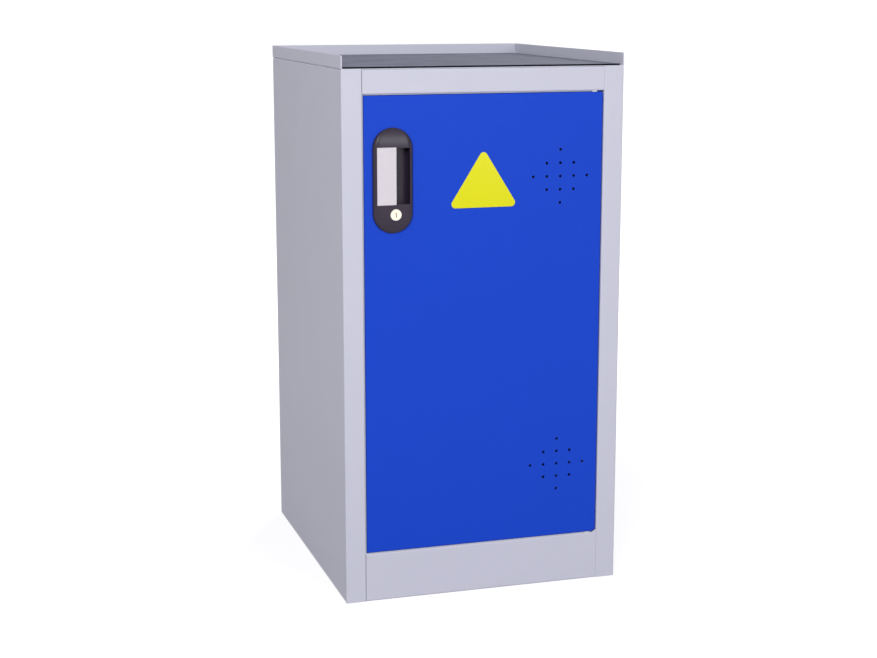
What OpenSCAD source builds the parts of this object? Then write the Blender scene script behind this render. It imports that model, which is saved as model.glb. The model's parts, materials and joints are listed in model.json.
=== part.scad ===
// Free-standing fireproof safety cabinet: a double-walled steel carcass with insulating boards,
// one flush door on pin hinges, a moulded pull handle with a card holder and a cam lock, two tray
// shelves over a leak-proof sump, and a rimmed worktop with a rubber mat.
// Frame: the origin is the centre of the footprint on the floor, the door faces -Y, +Z is up.

/* [Carcass] */
// Outside width
cabinet_w = 500; // [440:1:620]
// Outside depth, front frame to back panel
cabinet_d = 550; // [440:1:680]
// Height of the carcass top that the worktop tray sits on
seat_h = 917; // [860:1:1100]
// Thickness of the outer sheet
sheet_t = 1.2; // [1:0.1:1.5]
// Thickness of the inner liner sheet
liner_t = 1; // [0.8:0.1:1.2]
// Inside radius of the folds
bend_r = 1.5; // [1:0.1:2]
// Thickness of the back wall, from liner face to the back
back_wall_t = 46; // [30:1:60]
// Width of the flange behind each side panel
rear_flange_w = 15; // [10:1:25]
// Width of the flanges that carry the worktop tray
seat_flange_w = 20; // [12:1:24]
// Width of the flanges that the carcass stands on
foot_flange_w = 45; // [36:1:60]

/* [Front frame] */
// Width of each stile beside the door
stile_w = 36; // [30:1:50]
// Height of the rail over the door
header_h = 41; // [34:1:60]
// Height of the rail under the door
sill_h = 86; // [76:1:120]
// Width of the ledge behind the door edge that the door closes against
stop_w = 10; // [9:0.5:12]
// Thickness of the sealing strip on that ledge
seal_t = 5.7; // [5:0.1:8]
// Width of the sealing strip
seal_w = 6; // [4:0.5:6.5]
// Distance of the sealing strip from the frame
seal_inset = 1; // [0.5:0.1:1.5]
// Thickness of the seal's web, which lies on the frame in the gap round the door
web_t = 1.2; // [0.8:0.1:1.3]

/* [Worktop] */
// Height of the tray rim above its seat
rim_h = 23; // [14:0.5:50]
// Radius of the rim's front top corners
rim_corner_r = 5; // [2:0.5:10]
// Thickness of the mat
mat_t = 3; // [1.5:0.5:5]
// Gap between the mat and the left rim
mat_left_gap = 0.5; // [0.5:0.5:10]
// Gap between the mat and the right rim
mat_right_gap = 3.5; // [0.5:0.5:20]
// Gap between the mat and the back rim
mat_back_gap = 2; // [0.5:0.5:20]

/* [Interior] */
// Depth of the sump below its sill
sump_depth = 50; // [30:1:60]
// Height of the shelves' upturned edges
shelf_lip_h = 25; // [15:1:40]
// Distance from the stop ledge back to the shelf front
shelf_setback = 20; // [16:1:60]
// Gap behind each shelf
shelf_back_gap = 4; // [2:1:20]
// Gap between a shelf and its clips, each side
shelf_side_gap = 0.5; // [0.3:0.1:2]
// Slot that the lower shelf hangs in, counted from the bottom
lower_shelf_slot = 7; // [3:1:10]
// Slot that the upper shelf hangs in, counted from the bottom
upper_shelf_slot = 15; // [12:1:18]
// Distance from slot to slot
slot_pitch = 30; // [25:1:32]
// Height of a slot
slot_h = 15; // [12:1:18]
// Width of a slot
slot_w = 4; // [3:0.5:6]
// Width of a slotted upright
upright_w = 20; // [16:1:30]
// Depth of a slotted upright
upright_d = 8; // [6:0.5:14]
// Distance of the uprights from the front ledge and from the back liner
upright_inset = 70; // [50:1:110]
// Distance from the ends of an upright to its first slot's middle, and to the walls
upright_margin = 16; // [10:1:30]
// Thickness of a shelf clip
clip_t = 1.5; // [1:0.1:2.5]
// Width of a shelf clip
clip_w = 14; // [8:0.5:20]
// Reach of a shelf clip under the shelf
clip_reach = 14; // [8:0.5:24]
// Height of a clip's hook where it passes the slot
clip_neck = 5; // [3:0.5:8]
// Drop of a clip's hook behind the upright
clip_drop = 6; // [3:0.5:10]
// Height of the shelf over the slot's lower edge
clip_rise = 8; // [6:0.5:14]
// Length of a clip's plate below the slot's lower edge
clip_tail = 12; // [6:0.5:20]

/* [Door] */
// Gap round the door
door_gap = 2; // [1.8:0.1:3]
// Thickness of the door
door_t = 24; // [22:0.5:25]
// Radius of the door's front edges
door_edge_r = 2; // [1.5:0.1:2.4]
// Depth of the folded edge of the door's liner
door_liner_fold = 8; // [5:0.5:9]
// Distance of the hinge axis from the door's hinge edge
pivot_in = 14.5; // [13:0.5:15]
// Distance of the hinge axis behind the door's face
pivot_back = 7; // [6.8:0.1:7.4]
// Diameter of the hinge pins
pin_d = 7; // [6:0.5:7.5]
// Length of a hinge pin inside the door
pin_hold = 32; // [24:1:60]
// Outside diameter of the hinge bushes
bush_d = 10; // [9.5:0.5:10.5]
// Diameter of the bushes' collars
bush_collar_d = 13; // [12:0.5:13.5]
// Length of a bush inside its rail
bush_len = 6; // [4:0.5:12]
// Thickness of the hinge brackets
bracket_t = 1.5; // [1:0.1:1.7]
// Width of a hinge bracket on the far side of its pin
bracket_reach = 14; // [10:1:30]
// Angle that the door opens to
door_open = 110; // [90:1:110]
// Width of the cut-off at the door's lower hinge corner
corner_cut_w = 7.5; // [6:0.5:10]
// Height of that cut-off
corner_cut_h = 4.5; // [3:0.5:8]
// Size of the small cut-off at the upper hinge corner
corner_nick = 3; // [2:0.5:5]

/* [Vents] */
// Diameter of a vent hole
vent_d = 5; // [3:0.5:8]
// Distance between the vent's columns
vent_pitch_x = 24.6; // [15:0.1:28]
// Distance between the vent's rows
vent_pitch_z = 22.8; // [15:0.1:28]
// Steps from a vent's middle hole to its tips
vent_steps = 2; // [1:1:2]
// Distance of the vents' middles from the door's hinge edge
vent_from_edge = 76.5; // [70:0.5:100]
// Distance of the upper vent's middle below the door's top
vent_from_top = 142.5; // [110:0.5:200]
// Distance of the lower vent's middle above the door's bottom
vent_from_bottom = 132.5; // [110:0.5:200]

/* [Handle] */
// Width of the handle
handle_w = 69; // [66:0.5:80]
// Length of the handle
handle_l = 176.5; // [170:0.5:220]
// Height of the handle's crown over the door
handle_proud = 9; // [7:0.5:12]
// Straight height of the handle's side before it rounds over
handle_side_h = 2; // [1:0.5:4]
// Width of the rounded part of the handle's edge
handle_round_w = 11; // [6:0.5:14]
// Length of the handle's domed ends
dome_l = 32; // [24:0.5:34]
// Height of the dome over the straight side at the handle's tips
dome_tip = 0.8; // [0.5:0.1:2]
// Distance of the handle's middle from the door's free edge
handle_from_edge = 48.5; // [44:0.5:80]
// Distance of the handle's middle below the door's top
handle_from_top = 141; // [120:0.5:300]
// Width of the name card
card_w = 33; // [28:0.5:36]
// Height of the name card
card_h = 96; // [70:0.5:100]
// Thickness of the name card
card_t = 0.5; // [0.3:0.1:1]
// Thickness of the clear cover over the card
cover_t = 1.2; // [0.8:0.1:2]
// Height of the cover over the handle's crown
cover_proud = 0.4; // [0:0.1:0.8]
// Height of the card's middle above the handle's middle
card_rise = 8; // [0:0.5:15]
// Distance from the handle's middle to the line between card and finger recess
card_edge = 5.7; // [3:0.1:8]
// Width of the finger recess
recess_w = 22.7; // [18:0.1:23]
// Height of the finger recess
recess_h = 94; // [60:0.5:98]
// Depth of the finger recess behind the door's face
recess_floor = 14; // [10:0.5:14]
// Radius of the recess's floor
recess_r = 10; // [4:0.5:12]
// Width of the ridge between card and finger recess
card_ridge = 0.7; // [0.5:0.1:2]
// Depth of the grip behind the card plate
grip_under = 16; // [8:0.5:22]
// Thickness of the card plate
card_plate_t = 5; // [4:0.5:6]
// Wall of the moulding behind the door's face
tub_wall = 2; // [1:0.5:3]
// Distance of the handle's screws from its ends
handle_screw_in = 11; // [9:0.5:14]
// Diameter of the handle's screws
screw_d = 4; // [3:0.5:5]
// Length of those screws inside the handle
screw_bite = 4.5; // [3.5:0.5:4.5]

/* [Lock] */
// Diameter of the lock's face
lock_face_d = 19.5; // [19:0.5:24]
// Height of the lock's face over the handle
lock_face_t = 2.2; // [1:0.1:4]
// Diameter of the lock's body
lock_body_d = 16; // [15:0.5:18]
// Diameter of the turning plug
plug_d = 11; // [9:0.5:12]
// Diameter of the plug's head in the lock's face
plug_head_d = 13.5; // [12.5:0.5:15]
// Depth of the plug's head
plug_head_t = 1.6; // [1:0.1:2]
// Width of the plug's square tail, which carries the cam
tail_w = 6.5; // [6:0.1:6.5]
// Width of the keyway
keyway_w = 1.8; // [1:0.1:3]
// Height of the keyway
keyway_h = 8; // [5:0.5:9]
// Distance of the lock beside the handle's middle
lock_side = 3.4; // [-8:0.1:8]
// Distance of the lock below the handle's middle
lock_drop = 56.3; // [52:0.1:66]
// Width of the flat seat that the handle has round the lock's face
lock_seat_w = 1; // [0.5:0.1:2]
// Thickness of the lock nut
nut_t = 5; // [3:0.5:8]
// Size of the lock nut across its flats
nut_flats = 22; // [20:0.5:26]
// Length of the lock's body behind its nut
lock_tail = 2; // [1:0.5:3]
// Thickness of the cam
cam_t = 3; // [2:0.5:4]
// Diameter of the cam round the plug
cam_hub_d = 22; // [18:0.5:26]
// Width of the cam's tongue
cam_w = 14; // [11:0.5:20]
// Diameter of the cam's screw
cam_screw_d = 4; // [3:0.5:4.5]
// Diameter of that screw's head
cam_screw_head_d = 9; // [8:0.5:12]
// Height of that screw's head
cam_screw_head_t = 3; // [2:0.5:4]
// Length of that screw inside the plug
cam_screw_bite = 10; // [6:0.5:14]
// Length of the cross recess in its head
cross_l = 5; // [3:0.1:6]
// Width of that recess's arms
cross_w = 1.2; // [0.8:0.1:2]
// Depth of that recess
cross_d = 1.5; // [1:0.1:1.8]
// Width of the keeper that the cam turns behind
keeper_w = 14; // [10:0.5:18]
// Thickness of the keeper
keeper_t = 1.5; // [1:0.1:3]
// Height of the keeper
keeper_h = 44; // [24:1:80]
// Depth of the keeper's foot on the liner
keeper_foot = 16; // [8:1:30]

/* [Clearances] */
// Gap round boards, seals and other soft pieces
soft_gap = 0.3; // [0.3:0.05:0.5]
// Gap round pieces that slip into one another
slip_gap = 0.15; // [0.1:0.05:0.3]
// Radial gap of the turning pins
running_gap = 0.05; // [0.03:0.01:0.08]
// Gap between the cam and what it passes
cam_gap = 0.6; // [0.4:0.1:2]

/* [Hidden] */

$fn = 48;

// Straight pieces in a fold, and in a moulded curve
bend_steps = 4;
curve_steps = 8;
// Overshoot of a cut beyond the face that it leaves
over = 1;
// Width and height of a pan head for a screw of diameter 1
pan_head_w = 2;
pan_head_h = 0.6;

// Colours
paint_grey = [0.80, 0.80, 0.86];
paint_blue = [0.13, 0.29, 0.79];
zinc = [0.72, 0.73, 0.75];
wool = [0.78, 0.72, 0.50];
rubber_grey = [0.35, 0.35, 0.40];
seal_grey = [0.62, 0.63, 0.66];
black_plastic = [0.13, 0.12, 0.14];
nylon = [0.92, 0.91, 0.86];
card_white = [0.90, 0.88, 0.90];

// Main planes and edges
half_w = cabinet_w / 2;
front_reach = handle_proud + lock_face_t;
y_front = (front_reach - cabinet_d) / 2;
y_back = y_front + cabinet_d;
bend_out = bend_r + sheet_t;
liner_bend_out = bend_r + liner_t;
// Gap that keeps a board's square edge clear of a fold
board_gap = soft_gap + bend_r * (1 - cos(45));

open_x = half_w - stile_w;
open_top = seat_h - header_h;
rebate_d = door_t + soft_gap + seal_t;
stop_y = y_front + rebate_d;
inner_x = open_x - stop_w;
inner_top = open_top - stop_w;
inner_back = y_back - back_wall_t;
sill_top = sill_h + stop_w;
sump_floor = sill_top - sump_depth;
liner_low = sump_floor - liner_t;
liner_high = open_top + sheet_t;

cabinet_h = seat_h + rim_h;
rim_t = 2 * sheet_t;
mat_z = seat_h + sheet_t;

door_x0 = -open_x + door_gap;
door_x1 = open_x - door_gap;
door_z0 = sill_h + door_gap;
door_z1 = open_top - door_gap;
pivot_x = door_x1 - pivot_in;
pivot_y = y_front + pivot_back;
pin_r = pin_d / 2;
swing_r = norm([pivot_in, door_t - pivot_back]);
corner_slope = corner_cut_h / corner_cut_w;
// Where the lug in the door's lower hinge corner starts at the height of the door's foot: a door gap
// from the cut-off, and clear of the door's face when it is open
lug_x = max(door_x1 - corner_cut_w + door_gap * norm([1, corner_slope]) / corner_slope,
    pivot_x + pivot_back * tan(door_open / 2) + cam_gap);
bush_collar_t = door_gap - soft_gap;

handle_x = door_x0 + handle_from_edge;
handle_z = door_z1 - handle_from_top;
handle_end = handle_l / 2 - handle_w / 2;
recess_x0 = handle_x + card_edge;
recess_x1 = recess_x0 + recess_w;
recess_z = handle_z + card_rise;
grip_x0 = recess_x0 - grip_under;
tub_floor = recess_floor + tub_wall;
card_x1 = recess_x0 - card_ridge - slip_gap;
card_x0 = card_x1 - card_w;
pocket_t = card_t + cover_t - cover_proud;
screw_zs = [handle_z + handle_l / 2 - handle_screw_in, handle_z - handle_l / 2 + handle_screw_in];
screw_head_d = pan_head_w * screw_d;
screw_head_t = pan_head_h * screw_d;

lock_x = handle_x + lock_side;
lock_z = handle_z - lock_drop;
lock_face_y = y_front - front_reach;
lock_end = door_t + nut_t + lock_tail;
keeper_y = stop_y + liner_bend_out + slip_gap;
cam_y = keeper_y + keeper_t + cam_gap;
cam_len = lock_x + inner_x - keeper_t - bend_r - cam_gap;

upright_z0 = sill_top + upright_margin;
upright_z1 = inner_top - upright_margin;
upright_x = inner_x - upright_d;
upright_ys = [stop_y + upright_inset, inner_back - upright_inset];
slot_count = floor((upright_z1 - upright_z0 - 2 * upright_margin) / slot_pitch) + 1;
shelf_x = upright_x - clip_t - shelf_side_gap;
shelf_y0 = stop_y + shelf_setback;
shelf_y1 = inner_back - shelf_back_gap;

// Height of the lower edge of a slot
function slot_z(slot) = upright_z0 + upright_margin + slot * slot_pitch - slot_h / 2;
// Height of the underside of a shelf hung in a slot
function shelf_z(slot) = slot_z(slot) + clip_rise;
// Y of a place so far behind the door's face
function depth(d) = y_front + d;

// Direction of one stretch of a path
function heading(path, i) = (path[i + 1] - path[i]) / norm(path[i + 1] - path[i]);
// Whether b turns left from a
function turns_left(a, b) = a[0] * b[1] - a[1] * b[0] > 0;
// Left normal of a direction
function left_of(a) = [-a[1], a[0]];
// Points of an arc about c
function arc(c, r, from, to, steps) =
    [for (k = [0:steps]) let (a = from + (to - from) * k / steps) c + r * [cos(a), sin(a)]];
// Points of one square fold at p between directions a and b, with its centre set by the face's radius
function fold(p, a, b, face_r, r) =
    let (from = atan2(-b[1], -b[0]))
    arc(p + face_r * (b - a), r, from, from + (turns_left(a, b) ? 90 : -90), bend_steps);
// Outline of a sheet folded along a path, with the sheet on the path's left
function folded(path, t, r) =
    let (
        last = len(path) - 1,
        dirs = [for (i = [0:last - 1]) heading(path, i)],
        turns = [for (i = [1:1:last - 1]) turns_left(dirs[i - 1], dirs[i])],
        face = [for (i = [1:1:last - 1]) let (rf = turns[i - 1] ? r + t : r)
            each fold(path[i], dirs[i - 1], dirs[i], rf, rf)],
        far = [for (i = [last - 1:-1:1])
            let (rf = turns[i - 1] ? r + t : r, rb = turns[i - 1] ? r : r + t)
            each reverse(fold(path[i], dirs[i - 1], dirs[i], rf, rb))]
    )
    concat([path[0]], face, [path[last]], [path[last] + t * left_of(dirs[last - 1])],
        far, [path[0] + t * left_of(dirs[0])]);
// The same list backwards
function reverse(list) = [for (i = [len(list) - 1:-1:0]) list[i]];

// Moves every edge of a convex outline inwards by d, for points in anticlockwise order
function inset(points, d) =
    let (n = len(points))
    [for (i = [0:n - 1]) let (
        p = points[i],
        a = left_of((p - points[(i + n - 1) % n]) / norm(p - points[(i + n - 1) % n])),
        b = left_of((points[(i + 1) % n] - p) / norm(points[(i + 1) % n] - p))
    ) p + d * (a + b) / (1 + a * b)];

// Extrudes a plan outline from one height to another
module along_z(z0, z1) {
    translate([0, 0, z0]) linear_extrude(z1 - z0) children();
}

// Extrudes an outline of Y and Z from one X to another
module along_x(x0, x1) {
    translate([x0, 0, 0]) rotate([90, 0, 90]) linear_extrude(x1 - x0) children();
}

// Extrudes an outline of X and Z from one Y to another
module along_y(y0, y1) {
    translate([0, y1, 0]) rotate([90, 0, 0]) linear_extrude(y1 - y0) children();
}

// Box between two corners
module block(low, high) {
    translate(low) cube(high - low);
}

// Round bar along Y
module bar_y(x, z, y0, y1, r) {
    translate([x, y1, z]) rotate([90, 0, 0]) cylinder(h = y1 - y0, r = r);
}

// Round bar along Z
module bar_z(x, y, z0, z1, r) {
    translate([x, y, z0]) cylinder(h = z1 - z0, r = r);
}

// One side wall: stile, side sheet and rear flange in one folded sheet, with flanges at head and foot
module side_sheet() {
    outer = [[-half_w + rear_flange_w, y_back], [-half_w, y_back], [-half_w, y_front],
        [-open_x, y_front], [-open_x, stop_y]];
    corner = [[-half_w, y_front + 2 * bend_out], [-half_w, y_front], [-open_x, y_front], [-open_x, stop_y]];
    head = [[-half_w + seat_flange_w, seat_h], [-half_w, seat_h], [-half_w, seat_h - seat_flange_w]];
    foot = [[-half_w, foot_flange_w], [-half_w, 0], [-open_x - sheet_t - slip_gap, 0]];
    along_z(bend_out, seat_h - bend_out) polygon(folded(outer, sheet_t, bend_r));
    along_z(0, seat_h) polygon(folded(corner, sheet_t, bend_r));
    along_y(y_front + 2 * bend_out, y_back - bend_out) {
        polygon(folded(head, sheet_t, bend_r));
        polygon(folded(foot, sheet_t, bend_r));
    }
}

module side_panel_left() {
    color(paint_grey) side_sheet();
}

module side_panel_right() {
    color(paint_grey) mirror([1, 0, 0]) side_sheet();
}

module back_panel() {
    back_y = y_back - sheet_t;
    lip = [[back_y, seat_h - seat_flange_w], [back_y, seat_h], [back_y - seat_flange_w, seat_h]];
    edge_x = half_w - sheet_t - bend_r;
    flange_x = half_w - seat_flange_w - slip_gap;
    color(paint_grey) {
        block([-edge_x, back_y - sheet_t, 0], [edge_x, back_y, seat_h - bend_out]);
        along_x(-flange_x, flange_x) polygon(folded(lip, sheet_t, bend_r));
    }
}

module base_panel() {
    edge_x = half_w - sheet_t - bend_r;
    color(paint_grey)
        block([-edge_x, stop_y + liner_t, sheet_t], [edge_x, y_back - 2 * sheet_t - slip_gap, 2 * sheet_t]);
}

module top_rail() {
    path = [[y_front + seat_flange_w, seat_h], [y_front, seat_h], [y_front, open_top], [stop_y, open_top]];
    color(paint_grey) difference() {
        along_x(-open_x, open_x) polygon(folded(path, sheet_t, bend_r));
        bar_z(pivot_x, pivot_y, open_top - over, open_top + sheet_t + over, bush_d / 2 + running_gap);
    }
}

module bottom_rail() {
    path = [[stop_y, sill_h], [y_front, sill_h], [y_front, 0], [y_front + foot_flange_w, 0]];
    lug_tip = lug_x - door_gap / corner_slope;
    lug = [[lug_tip, sill_h], [lug_tip, sill_h - bend_out], [open_x, sill_h - bend_out],
        [open_x, door_z0 + (open_x - lug_x) * corner_slope]];
    color(paint_grey) difference() {
        union() {
            along_x(-open_x, open_x) polygon(folded(path, sheet_t, bend_r));
            along_y(y_front, y_front + sheet_t) polygon(lug);
        }
        bar_z(pivot_x, pivot_y, sill_h - sheet_t - over, sill_h + over, bush_d / 2 + running_gap);
    }
}

// Section of the tray's hemmed rim, rising from an edge with the floor towards side
function rim_section(edge, side) =
    let (
        outer = arc([bend_out, seat_h + bend_out], bend_out, 180, 270, bend_steps),
        inner = arc([rim_t + bend_r, mat_z + bend_r], bend_r, 270, 180, bend_steps),
        hem = arc([rim_t / 2, cabinet_h - rim_t / 2], rim_t / 2, 0, 180, 2 * bend_steps),
        run = seat_flange_w
    )
    [for (p = concat(outer, [[run, seat_h], [run, mat_z]], inner, hem)) [edge + side * p[0], p[1]]];

module worktop_tray() {
    rim_face = concat([[y_front, seat_h], [y_back, seat_h], [y_back, cabinet_h]],
        arc([y_front + rim_corner_r, cabinet_h - rim_corner_r], rim_corner_r, 90, 180, curve_steps));
    color(paint_grey) {
        block([-half_w + bend_out, y_front, seat_h], [half_w - bend_out, y_back - bend_out, mat_z]);
        intersection() {
            along_y(y_front, y_back) {
                polygon(rim_section(-half_w, 1));
                polygon(rim_section(half_w, -1));
            }
            along_x(-half_w - over, half_w + over) polygon(rim_face);
        }
        along_x(-half_w + bend_out, half_w - bend_out) polygon(rim_section(y_back, -1));
    }
}

module worktop_mat() {
    color(rubber_grey)
        block([-half_w + rim_t + mat_left_gap + bend_r, y_front, mat_z],
            [half_w - rim_t - mat_right_gap - bend_r, y_back - rim_t - mat_back_gap - bend_r, mat_z + mat_t]);
}

// One side liner, whose front edge folds outwards to make the ledge that the door closes against
module side_liner() {
    path = [[-open_x - sheet_t, stop_y], [-inner_x, stop_y], [-inner_x, inner_back]];
    along_z(liner_low, liner_high) polygon(folded(path, liner_t, bend_r));
}

module liner_left() {
    color(paint_grey) side_liner();
}

module liner_right() {
    color(paint_grey) mirror([1, 0, 0]) side_liner();
}

module liner_back() {
    edge_x = inner_x + liner_t;
    color(paint_grey)
        block([-edge_x, inner_back, liner_low], [edge_x, inner_back + liner_t, liner_high]);
}

module liner_top() {
    path = [[stop_y, liner_high], [stop_y, inner_top], [inner_back, inner_top]];
    color(paint_grey) along_x(-inner_x, inner_x) polygon(folded(path, liner_t, bend_r));
}

// Open tray of folded sheet with upturned edges on all four sides
module folded_tray(x, y0, y1, z0, z1, t) {
    reach = (y1 - y0) / 4;
    along_y(y0, y1) polygon(folded([[-x, z1], [-x, z0], [x, z0], [x, z1]], t, bend_r));
    along_x(-x + t, x - t) {
        polygon(folded([[y0, z1], [y0, z0], [y0 + reach, z0]], t, bend_r));
        polygon(folded([[y1 - reach, z0], [y1, z0], [y1, z1]], t, bend_r));
    }
}

module sump_pan() {
    color(paint_grey) folded_tray(inner_x, stop_y, inner_back, liner_low, sill_top, liner_t);
}

// Height range of the boards that stand beside and behind the liner
board_z0 = 2 * sheet_t + board_gap;
board_z1 = seat_h - sheet_t - board_gap;
board_y0 = stop_y + liner_t + board_gap;
board_y1 = y_back - 2 * sheet_t - board_gap;
board_x = inner_x + liner_t;

module side_board() {
    block([-half_w + sheet_t + board_gap, board_y0, board_z0], [-board_x - board_gap, board_y1, board_z1]);
}

module insulation_left() {
    color(wool) side_board();
}

module insulation_right() {
    color(wool) mirror([1, 0, 0]) side_board();
}

module insulation_back() {
    color(wool)
        block([-board_x, inner_back + liner_t + board_gap, board_z0], [board_x, board_y1, board_z1]);
}

module insulation_top() {
    edge_x = inner_x - board_gap;
    color(wool)
        block([-edge_x, board_y0, inner_top + liner_t + board_gap],
            [edge_x, inner_back - board_gap, board_z1]);
}

module insulation_base() {
    color(wool)
        block([-board_x, board_y0, board_z0], [board_x, inner_back + liner_t, liner_low - board_gap]);
}

// One slotted upright on the left liner, centred at y
module upright(y) {
    path = [[-inner_x, y - upright_w / 2], [-upright_x, y - upright_w / 2],
        [-upright_x, y + upright_w / 2], [-inner_x, y + upright_w / 2]];
    difference() {
        along_z(upright_z0, upright_z1) polygon(folded(path, sheet_t, bend_r));
        for (slot = [0:slot_count - 1])
            block([-upright_x - sheet_t - over, y - slot_w / 2, slot_z(slot)],
                [-upright_x + over, y + slot_w / 2, slot_z(slot) + slot_h]);
    }
}

module shelf_uprights() {
    color(zinc) for (side = [0, 1], y = upright_ys) mirror([side, 0, 0]) upright(y);
}

// One clip on the left: a tongue under the shelf, a plate on the upright and a hook through its slot
module clip(y, slot) {
    z0 = slot_z(slot);
    shelf = shelf_z(slot);
    hook_w = slot_w - 2 * slip_gap;
    plate = [[-upright_x + clip_reach, shelf], [-upright_x, shelf], [-upright_x, z0 - clip_tail]];
    hook = [[-upright_x, z0], [-upright_x - sheet_t - slip_gap, z0],
        [-upright_x - sheet_t - slip_gap, z0 - clip_drop],
        [-upright_x - sheet_t - slip_gap - clip_t, z0 - clip_drop],
        [-upright_x - sheet_t - slip_gap - clip_t, z0 + clip_neck], [-upright_x, z0 + clip_neck]];
    along_y(y - clip_w / 2, y + clip_w / 2) polygon(folded(plate, clip_t, bend_r));
    along_y(y - hook_w / 2, y + hook_w / 2) polygon(hook);
}

module shelf_clips() {
    color(zinc)
        for (side = [0, 1], y = upright_ys, slot = [lower_shelf_slot, upper_shelf_slot])
            mirror([side, 0, 0]) clip(y, slot);
}

module shelf(slot) {
    folded_tray(shelf_x, shelf_y0, shelf_y1, shelf_z(slot), shelf_z(slot) + shelf_lip_h, liner_t);
}

module lower_shelf() {
    color(zinc) shelf(lower_shelf_slot);
}

module upper_shelf() {
    color(zinc) shelf(upper_shelf_slot);
}

// Section of the sealing strip, from its flat back at stop towards the door, centred at mid
function seal_section(stop, mid) =
    concat([[stop, mid - seal_w / 2], [stop, mid + seal_w / 2]],
        [for (p = arc([stop - seal_t + seal_w / 2, mid], seal_w / 2, 90, 270, curve_steps))
            [max(p[0], stop - seal_t), p[1]]]);

// Three strips on the ledge, each with a web that reaches forward on the frame; none at the hinge side
module door_seal() {
    mid = seal_inset + seal_w / 2;
    far_x = pivot_x - swing_r;
    web_x = pivot_x - bush_collar_d / 2 - soft_gap;
    web_y = y_front + bend_out;
    corner = 2 * mid;
    web_end = web_t + soft_gap;
    color(seal_grey) {
        along_x(-open_x + web_end, far_x) {
            polygon(seal_section(stop_y, sill_h + mid));
            polygon(seal_section(stop_y, open_top - mid));
        }
        block([-open_x, web_y, sill_h], [web_x, stop_y, sill_h + web_t]);
        block([-open_x, web_y, open_top - web_t], [web_x, stop_y, open_top]);
        along_z(sill_h + corner, open_top - corner)
            polygon([for (p = seal_section(stop_y, -open_x + mid)) [p[1], p[0]]]);
        block([-open_x, web_y, sill_h + web_end], [-open_x + web_t, stop_y, open_top - web_end]);
    }
}

module lock_keeper() {
    path = [[-inner_x, keeper_y + keeper_foot], [-inner_x, keeper_y], [-inner_x + keeper_w, keeper_y]];
    color(zinc)
        along_z(lock_z - keeper_h / 2, lock_z + keeper_h / 2) polygon(folded(path, keeper_t, bend_r));
}

// Collared bush that stands in a rail with its collar up
module bush() {
    difference() {
        union() {
            translate([0, 0, -bush_len]) cylinder(h = bush_len, d = bush_d);
            cylinder(h = bush_collar_t, d = bush_collar_d);
        }
        translate([0, 0, -bush_len - over])
            cylinder(h = bush_len + bush_collar_t + 2 * over, r = pin_r + running_gap);
    }
}

module lower_hinge_bush() {
    color(nylon) translate([pivot_x, pivot_y, sill_h]) bush();
}

module upper_hinge_bush() {
    color(nylon) translate([pivot_x, pivot_y, open_top]) mirror([0, 0, 1]) bush();
}

// Front outline of the door in X and Z, anticlockwise, with both hinge corners cut off
door_outline = [[door_x0, door_z0], [door_x1 - corner_cut_w, door_z0], [door_x1, door_z0 + corner_cut_h],
    [door_x1, door_z1 - corner_nick], [door_x1 - corner_nick, door_z1], [door_x0, door_z1]];

// Section across the door from edge a to edge b, with both front edges rounded
function door_section(a, b) =
    concat(arc([a + door_edge_r, y_front + door_edge_r], door_edge_r, 180, 270, bend_steps),
        arc([b - door_edge_r, y_front + door_edge_r], door_edge_r, 270, 360, bend_steps),
        [[b, y_front + door_t], [a, y_front + door_t]]);

// Vent holes as round bars through the door from one depth to another
module vent_bars(d0, d1) {
    middles = [[door_x1 - vent_from_edge, door_z1 - vent_from_top],
        [door_x1 - vent_from_edge, door_z0 + vent_from_bottom]];
    for (m = middles, i = [-vent_steps:vent_steps], k = [-vent_steps:vent_steps])
        if (abs(i) + abs(k) <= vent_steps)
            bar_y(m[0] + i * vent_pitch_x, m[1] + k * vent_pitch_z, depth(d0), depth(d1), vent_d / 2);
}

// Square windows behind the vents
module vent_windows(d0, d1) {
    x = door_x1 - vent_from_edge;
    reach = [vent_steps * vent_pitch_x + vent_d, 0, vent_steps * vent_pitch_z + vent_d];
    for (z = [door_z1 - vent_from_top, door_z0 + vent_from_bottom])
        block([x, depth(d0), z] - reach, [x, depth(d1), z] + reach);
}

// Room for the handle's tub behind the door's face, with a gap round it
module tub_room(d0, d1, gap) {
    half_h = recess_h / 2 + tub_wall + gap;
    block([grip_x0 - tub_wall - gap, depth(d0), recess_z - half_h],
        [recess_x1 + tub_wall + gap, depth(d1), recess_z + half_h]);
}

module door_skin() {
    color(paint_blue) difference() {
        intersection() {
            along_y(y_front, y_front + door_t) polygon(door_outline);
            along_z(door_z0, door_z1) polygon(door_section(door_x0, door_x1));
            along_x(door_x0, door_x1) polygon([for (p = door_section(door_z0, door_z1)) [p[1], p[0]]]);
        }
        along_y(y_front + sheet_t, y_front + door_t + over) polygon(inset(door_outline, sheet_t));
        vent_bars(-over, sheet_t + over);
        tub_room(-over, sheet_t + over, slip_gap);
        bar_y(lock_x, lock_z, depth(-over), depth(sheet_t + over), lock_body_d / 2 + slip_gap);
        for (z = screw_zs)
            bar_y(handle_x, z, depth(-over), depth(sheet_t + over), screw_d / 2 + slip_gap);
        bar_z(pivot_x, pivot_y, door_z0 - over, door_z0 + sheet_t + over, pin_r + running_gap);
        bar_z(pivot_x, pivot_y, door_z1 - sheet_t - over, door_z1 + over, pin_r + running_gap);
    }
}

module door_liner() {
    rim = sheet_t + slip_gap;
    fold_y = y_front + door_t - door_liner_fold;
    color(paint_grey) difference() {
        along_y(fold_y, y_front + door_t) polygon(inset(door_outline, rim));
        along_y(fold_y - over, y_front + door_t - liner_t) polygon(inset(door_outline, rim + liner_t));
        vent_bars(door_t - liner_t - over, door_t + over);
        bar_y(lock_x, lock_z, depth(door_t - liner_t - over), depth(door_t + over),
            lock_body_d / 2 + slip_gap);
    }
}

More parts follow.
